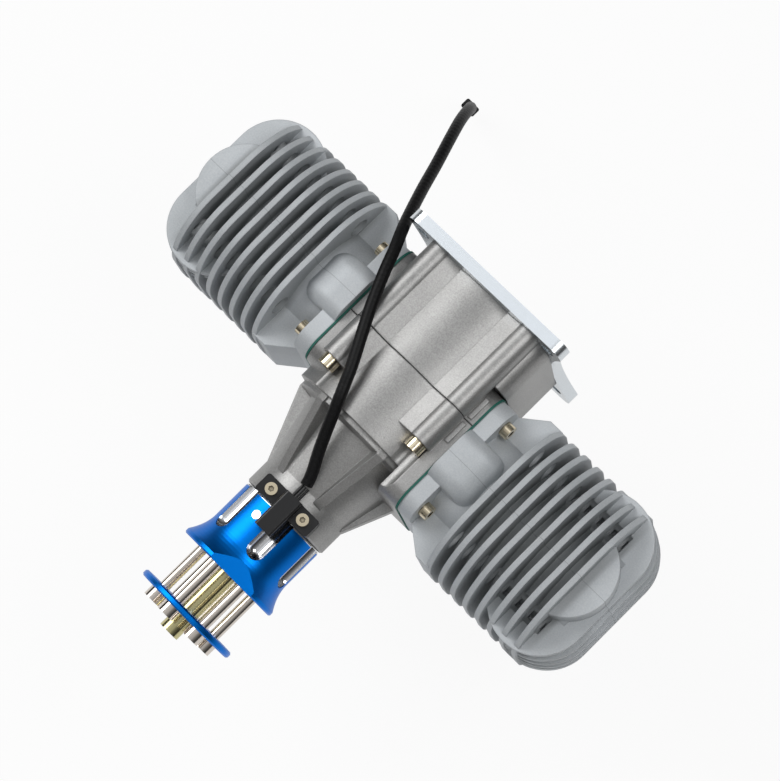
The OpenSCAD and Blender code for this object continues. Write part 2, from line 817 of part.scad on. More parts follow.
module cylinder_body() {
  difference() {
    union() {
      plate_along_x(flange_x, flange_top_x) rounded_rect(flange_w, flange_w, 9);
      bar_x(spigot_x, flange_x + 1, spigot_d);
      bar_x(flange_x, core_end_x, 2 * barrel_r);
      bulge();
      skirt();
      for (i = [0 : fin_count - 1]) translate([first_fin_x + i * fin_pitch, 0, 0])
        plate_along_x(-fin_t / 2, fin_t / 2) fin_outline();
      for (i = [-head_fin_pairs : head_fin_pairs]) head_fin(i * (deck_z - head_fin_t / 2) / head_fin_pairs);
      block(squish_x, head_reach - head_taper, -12, 12, -deck_z + 1, deck_z - 1);
      plug_boss(deck_z - 1, boss_h);
      plug_boss(-boss_h, -deck_z + 1);
      translate([plug_x, 0, 0]) bar_z(-boss_h, -deck_z + 1, plug_seat_d);
      exhaust_block();
    }
    bar_x(0, squish_x, bore_d);
    translate([squish_x - 0.01, 0, 0]) rotate([0, 90, 0]) cylinder(h = dome_h, r1 = 19, r2 = 8);
    for (p = [-1, 1], q = [-1, 1])
      translate([0, p * base_bolt_pitch / 2, q * base_bolt_pitch / 2]) {
        bar_x(0, flange_top_x + 1, base_bolt_d + 2 * hole_play);
        bar_x(flange_top_x, last_fin_x + fin_t, access_hole_d);
      }
    translate([exhaust_x, 0, 0]) bar_z(-exhaust_z - 1, -exhaust_z + exhaust_depth, exhaust_d);
    plate_along_z(-exhaust_z + 2, -bore_d / 2 + 8) translate([exhaust_x, 0])
      rounded_rect(exhaust_d * 0.6, exhaust_d * 0.7, 2);
    for (j = [-1, 1]) translate([exhaust_x, j * exhaust_bolt_pitch / 2, 0])
      bar_z(-exhaust_z - 1, -exhaust_z + thread_depth, exhaust_bolt_d);
    translate([plug_x, 0, 0]) {
      bar_z(-boss_h - 1, -10, 10 + 2 * fit);
      bar_z(-far, -boss_h, plug_seat_d);
    }
  }
}

module cylinder_left() {
  color("#aeb8bb") on_side(-1) cylinder_body();
}

module cylinder_right() {
  color("#aeb8bb") on_side(1) cylinder_body();
}

module cylinder_gasket(side) {
  color("#12493c") on_side(side) plate_along_x(seat_x, flange_x) difference() {
    rounded_rect(flange_w + 1, flange_w + 1, 9);
    circle(d = spigot_d + 2 * hole_play);
    corners(base_bolt_pitch, base_bolt_pitch) circle(d = base_bolt_d + 2 * hole_play);
  }
}

module cylinder_bolts(side) {
  color("#cfc3a6") on_side(side) for (p = [-1, 1], q = [-1, 1])
    translate([flange_top_x, p * base_bolt_pitch / 2, q * base_bolt_pitch / 2])
      rotate([0, 90, 0]) socket_screw(base_bolt_d, flange_top_x - seat_x + thread_depth - 1);
}

module spark_plug(side) {
  color("#d9d6cf") on_side(side) translate([plug_x, 0, -boss_h]) {
    bar_z(0, boss_h - 13, 10);
    bar_z(-2, 0, 15);
    translate([0, 0, -10]) cylinder(h = 8.2, d = plug_hex / cos(30), $fn = 6);
    bar_z(-12.5, -9.8, 12);
    bar_z(-27, -12.3, 8.6);
    bar_z(-33, -26.8, 5.6);
  }
}

// Propeller hub and what is bolted to it

module hub_profile() {
  steps = 8;
  flare_len = 12.5;
  rim = 2.2;
  start = hub_front_y + rim + flare_len;
  polygon(concat(
    [[0, hub_y], [hub_r - 0.6, hub_y], [hub_r, hub_y - 0.6]],
    [for (i = [0 : steps]) [
      hub_r + (flare_r - hub_r) * pow(i / steps, 2), start - flare_len * i / steps
    ]],
    [[flare_r, hub_front_y + 0.6], [flare_r - 0.6, hub_front_y], [0, hub_front_y]]
  ));
}

module prop_hub() {
  stop = 16.9;
  color("#0a6fd0") difference() {
    revolve_y() hub_profile();
    revolve_y() polygon([
      [0, hub_y + 1], [nose_journal_d / 2 + fit, hub_y + 1], [nose_journal_d / 2 + fit, taper_y],
      [taper_small_d / 2 + fit, crank_end_y], [0, crank_end_y]
    ]);
    bar_y(hub_front_y - 1, crank_end_y, stop);
    for (i = [0 : prop_bolt_count - 1]) rotate([0, hub_phase + i * 360 / prop_bolt_count, 0]) {
      translate([0, 0, prop_bolt_circle / 2])
        bar_y(hub_front_y - 1, hub_front_y + 18, prop_bolt_d + 2 * fit);
      rotate([0, 180 / prop_bolt_count, 0]) translate([0, 0, hub_r + 1]) {
        bar_y(hub_y - 18, hub_y + 1, 2 * flute_r);
        translate([0, hub_y - 18, 0]) sphere(flute_r);
      }
    }
    rotate([0, hub_phase + 30, 0]) block(-12, 12, hub_front_y - 1, hub_front_y + 9.4, hub_r + 1.1, far);
    rotate([0, hub_phase, 0]) translate([0, magnet_y, 0]) bar_z(hub_r - 3.2, hub_r + 1, 4 + 2 * fit);
    key_slot(fit);
  }
}

module timing_magnet() {
  color("#d6dade") rotate([0, hub_phase, 0]) translate([0, magnet_y, 0])
    bar_z(hub_r - 3.15, hub_r - 0.15, 4);
}

module prop_washer() {
  edge = 0.7;
  color("#0a6fd0") difference() {
    revolve_y() polygon([
      [0, prop_face_y], [flare_r - edge, prop_face_y], [flare_r, prop_face_y + edge],
      [flare_r, washer_y - edge], [flare_r - edge, washer_y], [0, washer_y]
    ]);
    bar_y(prop_face_y - 1, washer_y + 1, stud_d + 2 * hole_play);
    for (i = [0 : prop_bolt_count - 1]) rotate([0, hub_phase + i * 360 / prop_bolt_count, 0])
      translate([0, 0, prop_bolt_circle / 2])
        bar_y(prop_face_y - 1, washer_y + 1, prop_bolt_d + 2 * hole_play);
  }
}

module prop_bolts() {
  color("#c9c4b8") for (i = [0 : prop_bolt_count - 1])
    rotate([0, hub_phase + i * 360 / prop_bolt_count, 0])
      facing_front(0, prop_face_y, prop_bolt_circle / 2)
        socket_screw(prop_bolt_d, hub_front_y - prop_face_y + 15);
}

module centre_stud() {
  color("#b5ad72") {
    bar_y(prop_face_y - stud_tip, crank_end_y + 16, stud_d);
    bar_y(crank_end_y - 3.2, crank_end_y - fit, 16.4);
  }
}

// Ignition sensor and its lead

module sensor_housing() {
  mid_y = sensor_y + sensor_l / 2;
  foot_z = nose_r + 0.4;
  color("#1a1a1c") rotate([0, sensor_turn, 0]) {
    difference() {
      union() {
        translate([0, mid_y, 0]) plate_along_z(14, sensor_top_z) rounded_rect(sensor_w, sensor_l, 1.2);
        plate_along_y(sensor_y - 10.4, sensor_rear_y - 10.4)
          translate([sensor_block_x, (foot_z + sensor_block_z) / 2])
            rounded_rect(sensor_block_w, sensor_block_z - foot_z, 1.3);
      }
      bar_y(nose_y, far, 2 * (nose_r + fit));
      bar_y(-far, nose_y, 2 * (nose_r + 0.2));
      for (i = [-1, 1]) translate([i * sensor_screw_pitch / 2, mid_y, 0])
        bar_z(0, far, 3 + 2 * hole_play);
    }
    // three short wires between the block and the sleeve of the lead
    for (i = [-1 : 1]) translate([sensor_block_x + 1.5 * i, 0, sensor_block_z - 3 - abs(i)])
      bar_y(sensor_rear_y - 11, lead_route[0][1] - 0.7, 1.4);
  }
}

module sensor_screws() {
  color("#cfc3a6") rotate([0, sensor_turn, 0]) for (i = [-1, 1])
    translate([i * sensor_screw_pitch / 2, sensor_y + sensor_l / 2, sensor_top_z])
      socket_screw(3, 5.3);
}

function unit(v) = v / norm(v);

// One ring of the lead: points around p, square to the direction d
function ring(p, d, r, n) =
  let (a = unit(cross(d, [0.3, 0.2, 1])), b = cross(unit(d), a))
    [for (i = [0 : n - 1]) p + r * (cos(360 * i / n) * a + sin(360 * i / n) * b)];

module sweep(route, r, n) {
  m = len(route);
  dirs = [for (i = [0 : m - 1]) unit(route[min(i + 1, m - 1)] - route[max(i - 1, 0)])];
  points = [for (i = [0 : m - 1]) each ring(route[i], dirs[i], r, n)];
  sides = [for (i = [0 : m - 2], j = [0 : n - 1])
    [i * n + j, i * n + (j + 1) % n, (i + 1) * n + (j + 1) % n, (i + 1) * n + j]];
  polyhedron(points, concat([[for (j = [n - 1 : -1 : 0]) j]], sides,
    [[for (j = [0 : n - 1]) (m - 1) * n + j]]));
}

module sensor_lead() {
  color("#121214") sweep(lead_route, lead_d / 2, 8);
}

module lead_connector() {
  last = len(lead_route) - 1;
  run = lead_route[last] - lead_route[last - 1];
  tilt = asin(run[1] / norm(run));
  turn = asin(-run[0] / norm(run) / cos(tilt));
  color("#1d1d1f") translate(lead_route[last]) rotate([tilt, turn, 0]) {
    plate_along_z(-14.3, -0.3) rounded_rect(8, 5.2, 1);
    plate_along_z(-18.3, -14.2) rounded_rect(6.8, 3.6, 0.8);
  }
}

// Intake

module reed_block() {
  half_l = port_l / 2 - 0.4;
  color("#8d8f90") translate([0, -intake_y, 0]) difference() {
    union() {
      plate_along_z(reed_z, -intake_z) rounded_rect(46, manifold_l, 4);
      plate_along_y(-half_l, half_l) polygon([
        [-14.6, -intake_z - 0.5], [14.6, -intake_z - 0.5], [1.5, -intake_z + 15],
        [-1.5, -intake_z + 15]
      ]);
    }
    plate_along_y(-half_l + 2, half_l - 2) polygon([
      [-11.5, reed_z - 1], [11.5, reed_z - 1], [11.5, -intake_z], [0, -intake_z + 12],
      [-11.5, -intake_z]
    ]);
    for (s = [-1, 1]) mirror([s > 0 ? 0 : 1, 0, 0]) for (j = [-1, 1])
      translate([0, j * 5.2, 0]) plate_along_y(-4, 4) polygon([
        [3.5, -intake_z + 1.6], [14, -intake_z + 1.6], [6, -intake_z + 11], [1, -intake_z + 11]
      ]);
    translate([0, intake_y, 0]) for (p = manifold_screw_spots) translate([p[0], p[1], 0])
      bar_z(reed_z - 1, -intake_z + 1, 4 + 2 * hole_play);
  }
}

module reed_petals() {
  slope = atan2(15.5, 13.1);
  color("#2a2c2e") translate([0, -intake_y, 0]) for (s = [-1, 1])
    mirror([s > 0 ? 0 : 1, 0, 0]) for (j = [-1, 1])
      translate([14.6, j * 5.2, -intake_z - 0.5]) rotate([0, slope - 180, 0])
        block(0.9, 18.6, -4.6, 4.6, -0.42, -0.02);
}

module intake_manifold() {
  half = manifold_l / 2;
  color("#a9a8a4") difference() {
    translate([0, -intake_y, 0]) plate_along_z(manifold_z, reed_z)
      rounded_rect(46, manifold_l, 3);
    translate([0, 0, carb_z]) bar_y(-intake_y - half + 5, -intake_y + half + 1, manifold_bore);
    block(-10.5, 10.5, -intake_y - half + 5, -intake_y + 7, carb_z, reed_z + 1);
    for (p = manifold_screw_spots) translate([p[0], p[1], 0])
      bar_z(manifold_z - 1, reed_z + 1, 4 + 2 * hole_play);
    for (i = [-1, 1]) translate([i * carb_bolt_pitch / 2, 0, carb_z + i * carb_bolt_rise])
      bar_y(manifold_rear_y - carb_bolt_grip - 1, manifold_rear_y + 1, carb_bolt_d + 2 * fit);
  }
}

module manifold_screws() {
  color("#cfc3a6") for (p = manifold_screw_spots) translate([p[0], p[1], manifold_z])
    rotate([180, 0, 0]) socket_screw(4, reed_flange_t + manifold_h + 5);
}

module carb_flange_outline() {
  rounded_rect(carb_w, carb_h, 3);
  for (i = [-1, 1]) translate([i * carb_bolt_pitch / 2, i * carb_bolt_rise]) circle(carb_bolt_d);
  for (i = [-1, 1]) translate([i * carb_bolt_pitch / 4, i * carb_bolt_rise])
    square([carb_bolt_pitch / 2, 2 * carb_bolt_d], center = true);
}

module carb_insulator() {
  color("#3a2c22") translate([0, 0, carb_z]) plate_along_y(manifold_rear_y, carb_front_y)
    difference() {
      carb_flange_outline();
      circle(d = carb_bore);
      for (i = [-1, 1]) translate([i * carb_bolt_pitch / 2, i * carb_bolt_rise])
        circle(d = carb_bolt_d + 2 * hole_play);
    }
}

module carburettor_body() {
  color("#a8abab") difference() {
    translate([0, 0, carb_z]) {
      plate_along_y(carb_front_y, carb_front_y + ear_t) carb_flange_outline();
      plate_along_y(carb_front_y, carb_rear_y) rounded_rect(carb_w, carb_h, 3);
      plate_along_y(carb_rear_y - 1, carb_rear_y + 2.5) circle(d = carb_bore + 5);
    }
    translate([0, 0, carb_z]) bar_y(carb_front_y - 1, far, carb_bore);
    for (y = [throttle_y, choke_y]) translate([0, y, carb_z])
      bar_x(-far, far, carb_shaft_d + 2 * fit);
    for (i = [-1, 1]) translate([i * carb_bolt_pitch / 2, 0, carb_z + i * carb_bolt_rise])
      bar_y(-far, far, carb_bolt_d + 2 * hole_play);
    for (s = mixture_spots) translate([0, s[0], s[1]]) bar_x(carb_w / 2 - 6, far, 3 + 2 * fit);
    for (s = cover_spots) translate([s[0], s[1], carb_z])
      for (t = [-1, 1]) translate([0, 0, t * (carb_h / 2 - 2)]) bar_z(-3, 3, 2.5 + 2 * fit);
  }
}

mixture_spots = [[(throttle_y + choke_y) / 2 - 2.6, carb_z + 5], [(throttle_y + choke_y) / 2 + 2.6, carb_z - 5]];
cover_spots = [for (i = [-1, 1], j = [-1, 1])
  [i * (carb_w / 2 - 3), (carb_front_y + carb_rear_y) / 2 + 3 + j * (carb_l / 2 - 6)]];

module cover(z0, z1) {
  translate([0, (carb_front_y + carb_rear_y) / 2 + 3, 0]) plate_along_z(z0, z1)
    rounded_rect(carb_w, carb_l - 6.4, 3);
}

module fuel_pump_cover() {
  z0 = carb_z + carb_h / 2;
  color("#3b3e40") difference() {
    cover(z0, z0 + carb_cover_t);
    for (s = cover_spots) translate([s[0], s[1], 0]) bar_z(z0 - 1, far, 2.5 + 2 * hole_play);
    translate([0, (throttle_y + choke_y) / 2, z0 + carb_cover_t / 2])
      bar_x(-far, -carb_w / 2 + 6, 3 + 2 * fit);
  }
}

module metering_cover() {
  z1 = carb_z - carb_h / 2;
  color("#c6c9ca") difference() {
    union() {
      cover(z1 - carb_cover_t + 2, z1);
      translate([0, (carb_front_y + carb_rear_y) / 2 + 3, 0]) bar_z(z1 - carb_cover_t, z1 - 1, 20);
    }
    for (s = cover_spots) translate([s[0], s[1], 0]) bar_z(-far, z1 + 1, 2.5 + 2 * hole_play);
    translate([0, (carb_front_y + carb_rear_y) / 2 + 3, 0]) bar_z(-far, z1 - 1.4, 2);
  }
}

module cover_screws() {
  top = carb_z + carb_h / 2 + carb_cover_t;
  low = carb_z - carb_h / 2 - carb_cover_t + 2;
  color("#b9bcbd") for (s = cover_spots) {
    translate([s[0], s[1], top]) socket_screw(2.5, carb_cover_t + 3.5);
    translate([s[0], s[1], low]) rotate([180, 0, 0]) socket_screw(2.5, carb_cover_t + 1.5);
  }
}

module carburettor_bolts() {
  color("#cfc3a6") for (i = [-1, 1])
    facing_rear(i * carb_bolt_pitch / 2, carb_front_y + ear_t, carb_z + i * carb_bolt_rise)
      socket_screw(carb_bolt_d, ear_t + insulator_t + carb_bolt_grip);
}

module butterfly_shaft(y, side) {
  lever_x = carb_bolt_pitch / 2 + 5;
  translate([0, y, carb_z]) mirror([side > 0 ? 0 : 1, 0, 0]) difference() {
    union() {
      bar_x(-carb_w / 2 - 2, lever_x + 3, carb_shaft_d);
      bar_x(-carb_w / 2 - 2, -carb_w / 2 - 0.5, carb_shaft_d + 2.4);
      plate_along_x(lever_x, lever_x + 1.8) difference() {
        union() {
          circle(4.6);
          translate([-2.4, -12]) square([4.8, 12]);
          translate([0, -12]) circle(3.6);
        }
        translate([0, -12]) circle(d = 2.2, $fn = 24);
      }
    }
    rotate([-butterfly_tilt, 0, 0]) block(-carb_bore / 2 - 0.3, carb_bore / 2 + 0.3, -0.6, 0.6, -4, 4);
  }
}

module butterfly_plate(y) {
  color("#c2ab63") translate([0, y, carb_z]) rotate([-butterfly_tilt, 0, 0])
    bar_y(-0.5, 0.5, 2 * plate_r);
}

// Close-wound return spring around the throttle shaft, with a leg on the body's side
module throttle_spring() {
  wire = 0.9;
  coil_r = carb_shaft_d / 2 + 0.25 + wire / 2;
  start = carb_w / 2 + 0.8;
  color("#8f9294") translate([start, throttle_y, carb_z]) {
    rotate([0, 90, 0]) rotate_extrude() for (i = [0 : 5])
      translate([coil_r, i * wire * 0.9]) circle(d = wire, $fn = 24);
    translate([0, coil_r, -7.5]) cylinder(h = 7.5, d = 0.8 * wire, $fn = 24);
  }
}

module throttle_shaft() {
  color("#9ea3a6") butterfly_shaft(throttle_y, 1);
}

module choke_shaft() {
  color("#9ea3a6") butterfly_shaft(choke_y, -1);
}

module mixture_screws() {
  color("#b79a4a") for (s = mixture_spots) translate([0, s[0], s[1]]) {
    bar_x(carb_w / 2 - 5.8, carb_w / 2 + 3.4, 3);
    bar_x(carb_w / 2 + 1, carb_w / 2 + 4.4, 4.6);
  }
}

module fuel_nipple() {
  z = carb_z + carb_h / 2 + carb_cover_t / 2;
  color("#c9a84c") translate([0, (throttle_y + choke_y) / 2, z]) difference() {
    union() {
      bar_x(-carb_w / 2 - 9, -carb_w / 2 + 5.5, 3);
      bar_x(-carb_w / 2 - 8.4, -carb_w / 2 - 6.6, 4);
      bar_x(-carb_w / 2 - 3, -carb_w / 2 - 0.1, 4.4);
    }
    bar_x(-far, -carb_w / 2 + 4, 1.4);
  }
}

mounting_plate();
crankcase_rear();
crankcase_front();
crankcase_gasket();
crankcase_bolts();
cylinder_left();
cylinder_right();
cylinder_gasket(-1);  // cylinder_gasket_left
cylinder_gasket(1);  // cylinder_gasket_right
cylinder_bolts(-1);  // cylinder_bolts_left
cylinder_bolts(1);  // cylinder_bolts_right
spark_plug(-1);  // spark_plug_left
spark_plug(1);  // spark_plug_right
rear_bearing();
front_bearing();
nose_bearing();
front_oil_seal();
crankshaft_front();
crank_middle_web();
crankshaft_rear();
crankpin(-1);  // crankpin_left
crankpin(1);  // crankpin_right
con_rod(-1);  // con_rod_left
con_rod(1);  // con_rod_right
rod_bearings(-1);  // rod_bearings_left
rod_bearings(1);  // rod_bearings_right
piston(-1);  // piston_left
piston(1);  // piston_right
piston_rings(-1);  // piston_rings_left
piston_rings(1);  // piston_rings_right
wrist_pin(-1);  // wrist_pin_left
wrist_pin(1);  // wrist_pin_right
prop_hub();
hub_key();
timing_magnet();
prop_washer();
prop_bolts();
centre_stud();
sensor_housing();
sensor_screws();
sensor_lead();
lead_connector();
reed_block();
reed_petals();
intake_manifold();
manifold_screws();
carb_insulator();
carburettor_body();
fuel_pump_cover();
metering_cover();
cover_screws();
carburettor_bolts();
throttle_shaft();
butterfly_plate(throttle_y);  // throttle_plate
throttle_spring();
choke_shaft();
butterfly_plate(choke_y);  // choke_plate
mixture_screws();
fuel_nipple();
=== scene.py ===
"""Studio picture of a horizontally opposed two-cylinder model aircraft engine."""
import math

import bpy
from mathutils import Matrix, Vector


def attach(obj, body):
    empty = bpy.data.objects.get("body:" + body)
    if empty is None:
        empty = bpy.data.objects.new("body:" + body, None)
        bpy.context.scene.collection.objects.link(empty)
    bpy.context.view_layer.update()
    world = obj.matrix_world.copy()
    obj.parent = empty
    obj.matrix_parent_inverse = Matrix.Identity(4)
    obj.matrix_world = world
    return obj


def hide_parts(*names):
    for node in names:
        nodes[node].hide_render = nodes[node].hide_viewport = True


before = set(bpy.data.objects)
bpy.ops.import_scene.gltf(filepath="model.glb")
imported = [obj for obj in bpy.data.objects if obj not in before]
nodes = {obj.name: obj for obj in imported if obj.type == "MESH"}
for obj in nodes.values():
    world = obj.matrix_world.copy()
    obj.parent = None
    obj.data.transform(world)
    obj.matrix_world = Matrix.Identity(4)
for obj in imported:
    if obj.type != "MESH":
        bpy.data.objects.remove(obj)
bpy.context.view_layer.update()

# Camera. A long lens looks down on the engine from about 1.2 m. It is tilted
# a little, so that the outer ends of the fins and the hub's flutes show.
MM = 0.001
LENS_MM = 133.2
SENSOR_MM = 36
NEAR_M = 0.05
FAR_M = 20
EYE = Vector((289.05, -170.48, 1211.69)) * MM
TILT_DEG = (5.185, 13.677, 44.118)

camera_data = bpy.data.cameras.new("camera")
camera_data.lens = LENS_MM
camera_data.sensor_width = SENSOR_MM
camera_data.clip_start = NEAR_M
camera_data.clip_end = FAR_M
camera = bpy.data.objects.new("camera", camera_data)
camera.location = EYE
camera.rotation_mode = "ZYX"
camera.rotation_euler = [math.radians(a) for a in TILT_DEG]
bpy.context.scene.collection.objects.link(camera)
bpy.context.scene.camera = camera


# Sensor lead. Three thin wires in a woven black sleeve 5.5 mm thick. It starts just
# behind the sensor block, lies over the left screw tube of the crankcase, passes the
# mounting plate's corner and hangs down behind it with its connector at the end.
LEAD_D = 5.5 * MM
LEAD_STEP = 0.35 * MM
LEAD_CORNERS = 54
BRAID_PITCH = 5 * MM
BRAID_STRANDS = 10
BRAID_RELIEF = 0.09 * MM
THREAD_DARK = (0.002, 0.002, 0.002, 1)
THREAD_LIGHT = (0.012, 0.012, 0.014, 1)
PATH_STRIDE = 6
LEAD_ROUTE_MM = [
    (3.3, -116.4, 27), (1.7, -111.1, 28.8), (-3.1, -100.2, 33.4), (-9.1, -83.6, 40.8),
    (-12.7, -74.8, 42.6), (-15.9, -67.6, 43.4), (-23.2, -54, 43.5), (-27.7, -45.6, 43.3),
    (-31.8, -37.2, 42.8), (-36, -28.1, 41.6), (-39.8, -19.6, 39.6), (-43.8, -12.2, 36.6),
    (-47.9, -4.9, 31.6), (-55.4, 9.8, 21), (-61.9, 23.6, 11), (-68.9, 37.9, 1),
    (-74.5, 48.5, -9), (-79.3, 56.5, -22), (-83.9, 61.3, -38), (-88.9, 64.6, -54),
    (-93.8, 67.6, -70), (-98.7, 70.5, -86), (-103.2, 73.2, -101),
]


class Socket:
    """A shader socket or a number that takes part in Python expressions."""

    def __init__(self, graph, value):
        self.graph = graph
        self.value = value

    def _math(self, operation, *others):
        inputs = dict(enumerate([self, *others]))
        return self.graph.node("ShaderNodeMath", {"operation": operation}, inputs)

    def __add__(self, other):
        return self._math("ADD", other)

    __radd__ = __add__

    def __sub__(self, other):
        return self._math("SUBTRACT", other)

    def __rsub__(self, other):
        return Socket(self.graph, other)._math("SUBTRACT", self)

    def __mul__(self, other):
        return self._math("MULTIPLY", other)

    __rmul__ = __mul__

    def __abs__(self):
        return self._math("ABSOLUTE")

    def clamped(self, low, high):
        """This value stretched so that low becomes 0 and high becomes 1."""
        return self.graph.node(
            "ShaderNodeMapRange", {"clamp": True},
            {"Value": self, "From Min": low, "From Max": high})

    def around(self, middle, swing):
        """This noise as a value that varies round a middle one, by a swing in all."""
        return middle + swing * (self - 0.5)


class Graph:
    """The node tree of a new material with this name, or of the world."""

    def __init__(self, owner):
        if isinstance(owner, str):
            owner = bpy.data.materials.new(owner)
        owner.use_nodes = True
        self.owner = owner
        self.tree = owner.node_tree
        self.tree.nodes.clear()

    def node(self, kind, settings=None, inputs=None, output=0):
        """Adds a node, with its settings first and then its sockets, and gives one output."""
        made = self.tree.nodes.new(kind)
        for name, value in (settings or {}).items():
            if name == "stops":
                self._ramp(made, value)
            else:
                setattr(made, name, value)
        for name, value in (inputs or {}).items():
            socket = made.inputs[name]
            if isinstance(value, Socket):
                value = value.value
            if isinstance(value, bpy.types.NodeSocket):
                self.tree.links.new(value, socket)
            else:
                socket.default_value = value
        return Socket(self, made.outputs[output]) if made.outputs else None

    def _ramp(self, made, stops):
        ramp = made.color_ramp
        while len(ramp.elements) < len(stops):
            ramp.elements.new(0.5)
        for element, (place, level) in zip(ramp.elements, stops):
            element.position = place
            element.color = (level, level, level, 1)

    def place(self):
        """The point on the object, in metres."""
        return self.node("ShaderNodeTexCoord", output="Object")

    def squeezed(self, factor):
        """The point with its Y multiplied, which turns noise into rings round the shaft."""
        return self.node("ShaderNodeMapping", {}, {"Vector": self.place(), "Scale": (1, factor, 1)})

    def noise(self, per_metre, detail, roughness=0.55, vector=None):
        """Cloudy noise from 0 to 1, with so many blobs per metre."""
        return self.node(
            "ShaderNodeTexNoise", {},
            {"Vector": vector or self.place(), "Scale": per_metre, "Detail": detail,
             "Roughness": roughness})

    def mix(self, share, first, second):
        """Two colours mixed by a share from 0 to 1."""
        return self.node(
            "ShaderNodeMix", {"data_type": "RGBA"},
            {0: share, 6: first, 7: second}, output=2)

    def axis(self, index):
        """One coordinate of the point on the object, in metres."""
        return self.node("ShaderNodeSeparateXYZ", {}, {"Vector": self.place()}, output=index)

    def distance(self, centre, mask):
        """How far the point lies from a centre, along the axes where the mask is 1."""
        offset = self.node("ShaderNodeVectorMath", {"operation": "SUBTRACT"},
                           {0: self.place(), 1: centre})
        flat = self.node("ShaderNodeVectorMath", {"operation": "MULTIPLY"}, {0: offset, 1: mask})
        return self.node("ShaderNodeVectorMath", {"operation": "LENGTH"}, {0: flat}, output=1)

    def bump(self, height, depth, normal=None):
        """A normal tilted by a height field. depth is the relief in metres."""
        inputs = {"Height": height, "Distance": depth, "Strength": 1.0}
        if normal:
            inputs["Normal"] = normal
        return self.node("ShaderNodeBump", {}, inputs)

    def rounded(self, radius):
        """A normal that rolls over sharp edges, as on a casting."""
        return self.node("ShaderNodeBevel", {"samples": 6}, {"Radius": radius})

    def surface(self, **sockets):
        """Ends the tree in a Principled shader with these sockets."""
        named = {key.replace("_", " ").title().replace("Ior", "IOR"): value
                 for key, value in sockets.items()}
        shader = self.node("ShaderNodeBsdfPrincipled", {}, named)
        self.node("ShaderNodeOutputMaterial", {}, {"Surface": shader})
        return self.owner


def woven_sleeve():
    g = Graph("woven sleeve")
    threads = g.noise(per_metre=2600, detail=2).clamped(0.45, 0.75)
    return g.surface(base_color=g.mix(threads, THREAD_DARK, THREAD_LIGHT), roughness=0.45,
                     specular_ior_level=0.2)


def tube_mesh(name, route, radius_at, corners):
    """A tube mesh round a polyline, with a radius for each step and angle, and so many corners."""
    verts = []
    faces = []
    last = len(route) - 1
    side = Vector((1, 0, 0))
    for i, point in enumerate(route):
        along = (route[min(i + 1, last)] - route[max(i - 1, 0)]).normalized()
        side = (side - along * side.dot(along)).normalized()
        other = along.cross(side)
        for j in range(corners):
            a = 2 * math.pi * j / corners
            r = radius_at(i, a)
            verts.append(point + side * (r * math.cos(a)) + other * (r * math.sin(a)))
    for i in range(last):
        for j in range(corners):
            k = (j + 1) % corners
            faces.append((i * corners + j, i * corners + k,
                          (i + 1) * corners + k, (i + 1) * corners + j))
    faces.append(tuple(reversed(range(corners))))
    faces.append(tuple(last * corners + j for j in range(corners)))
    mesh = bpy.data.meshes.new(name)
    mesh.from_pydata(verts, [], faces)
    mesh.polygons.foreach_set("use_smooth", [True] * len(mesh.polygons))
    mesh.update()
    return mesh


def smooth_route(points, step):
    """Points about a step apart on a Catmull-Rom curve through the given ones."""
    out = []
    for i in range(len(points) - 1):
        a = points[max(i - 1, 0)]
        b, c = points[i], points[i + 1]
        d = points[min(i + 2, len(points) - 1)]
        count = max(2, round((c - b).length / step))
        for k in range(count):
            t = k / count
            out.append(0.5 * (2 * b + (c - a) * t + (2 * a - 5 * b + 4 * c - d) * t * t
                              + (3 * b - a - 3 * c + d) * t ** 3))
    out.append(points[-1].copy())
    return out


def braid_radius(i, angle):
    """The sleeve's radius, where strands that wind both ways cross over each other."""
    turn = 2 * math.pi * LEAD_STEP * i / BRAID_PITCH
    over = math.sin(BRAID_STRANDS * angle + turn) * math.sin(BRAID_STRANDS * angle - turn)
    return LEAD_D / 2 - BRAID_RELIEF * (0.5 - 0.5 * over)


lead_route = [Vector(p) * MM for p in LEAD_ROUTE_MM]
lead_line = smooth_route(lead_route, LEAD_STEP)
lead_length = sum((b - a).length for a, b in zip(lead_line, lead_line[1:]))
lead_mesh = tube_mesh("lead_sleeve", lead_line, braid_radius, LEAD_CORNERS)
lead_mesh.materials.append(woven_sleeve())
lead = bpy.data.objects.new("lead_sleeve", lead_mesh)
bpy.context.scene.collection.objects.link(lead)
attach(lead, "engine")
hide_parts("sensor_lead")
lead_line[::PATH_STRIDE] + [lead_line[-1]]


# Crankcase. Two gravity-cast aluminium halves, the front one with the ribbed nose. The
# castings have small round corners, and bead blasting has given them an even warm grey
# with a fine grain. Four long screws pull both halves against the mounting plate.
EDGE_SEGMENTS = 2
EDGE_ANGLE_DEG = 40
GRAIN_LIGHT = (0.9, 0.9, 0.88, 1)
GRAIN_SHARE = 0.2
CASE_RELIEF = 0.08 * MM
CASE_CORNER = 0.8 * MM


def dress(names, material, edge_mm):
    """Gives nodes a material. Milled, turned and moulded ones get a small broken edge too."""
    for name in names:
        piece = nodes[name]
        piece.data.materials.clear()
        piece.data.materials.append(material)
        if edge_mm:
            bevel = piece.modifiers.new("broken edges", "BEVEL")
            bevel.width = edge_mm * MM
            bevel.segments = EDGE_SEGMENTS
            bevel.limit_method = "ANGLE"
            bevel.angle_limit = math.radians(EDGE_ANGLE_DEG)
            bevel.harden_normals = True


def blasted(g, dark, light):
    """The colour and the grains of a blasted casting."""
    patches = g.noise(per_metre=26, detail=3).clamped(0.3, 0.7)
    grains = g.noise(per_metre=1500, detail=2, roughness=0.7)
    colour = g.mix(patches, (*dark, 1), (*light, 1))
    return g.mix(grains.clamped(0.35, 0.7) * GRAIN_SHARE, colour, GRAIN_LIGHT), grains


